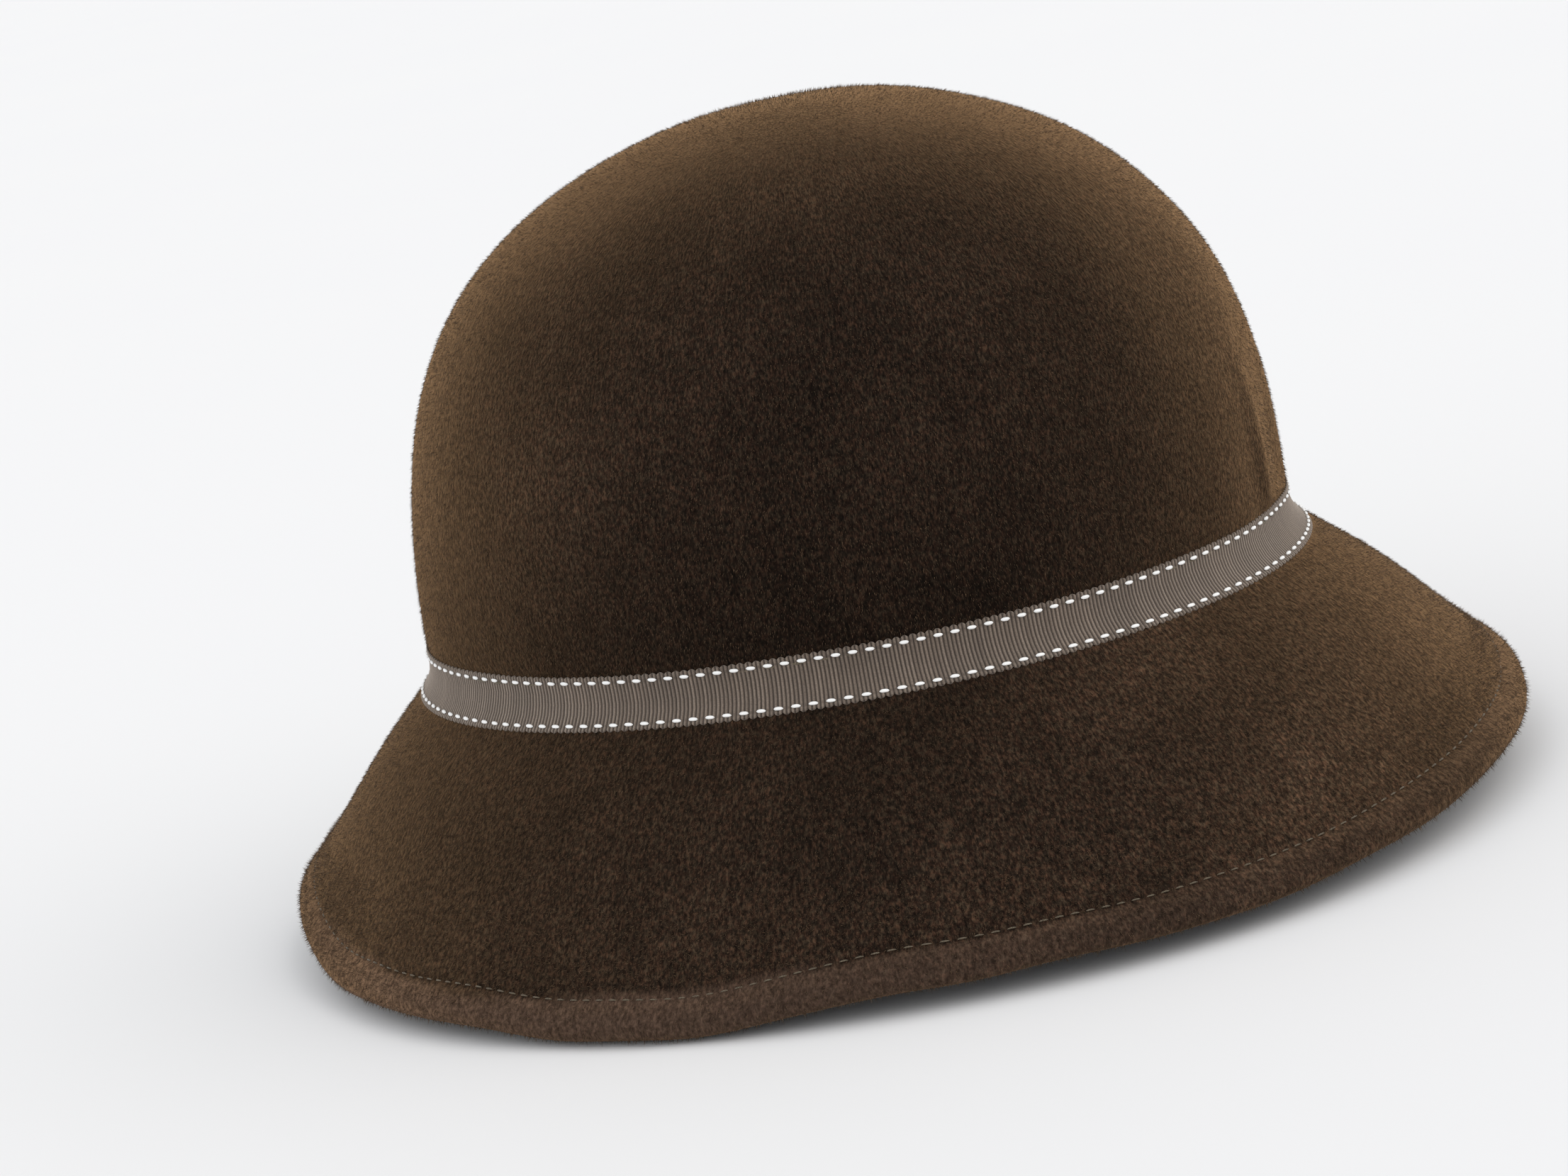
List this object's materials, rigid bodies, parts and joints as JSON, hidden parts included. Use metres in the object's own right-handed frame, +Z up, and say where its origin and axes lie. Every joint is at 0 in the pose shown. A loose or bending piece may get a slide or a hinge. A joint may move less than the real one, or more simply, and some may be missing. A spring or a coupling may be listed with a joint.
{
  "type": "felt hat",
  "caption": "Domed velour felt hat with a brim that slopes down all round, a stitched turned-under hem and a narrow grosgrain ribbon with white running stitches.",
  "frame": {"origin": "centre of the head opening, on the line where crown and brim meet", "axes": "+Z up through the crown, -Y towards the front of the hat, +X towards the wearer's left"},
  "size_m": [0.2618, 0.2978, 0.1771],
  "materials": {
    "velour_felt": "dark brown velour fur felt with a short brushed nap",
    "grosgrain": "taupe grosgrain with fine cross ribs",
    "white_thread": "white running stitches",
    "brown_thread": "brown sewing thread",
    "petersham": "dark brown petersham with fine cross ribs",
    "millinery_wire": "drawn steel wire",
    "crimp_sleeve": "crimped brass sleeve"
  },
  "bodies": {
    "root": {"crown_felt": "velour_felt", "brim_felt": "velour_felt", "brim_wire": "millinery_wire", "wire_joiner": "crimp_sleeve", "hem_needle_thread": "brown_thread", "hem_bobbin_thread": "brown_thread", "head_seam_thread": "brown_thread", "hat_band": "grosgrain", "band_upper_stitches": "white_thread", "band_lower_stitches": "white_thread", "band_tack_stitches": "brown_thread", "sweatband": "petersham", "sweatband_stitches": "brown_thread"}
  },
  "joints": []
}
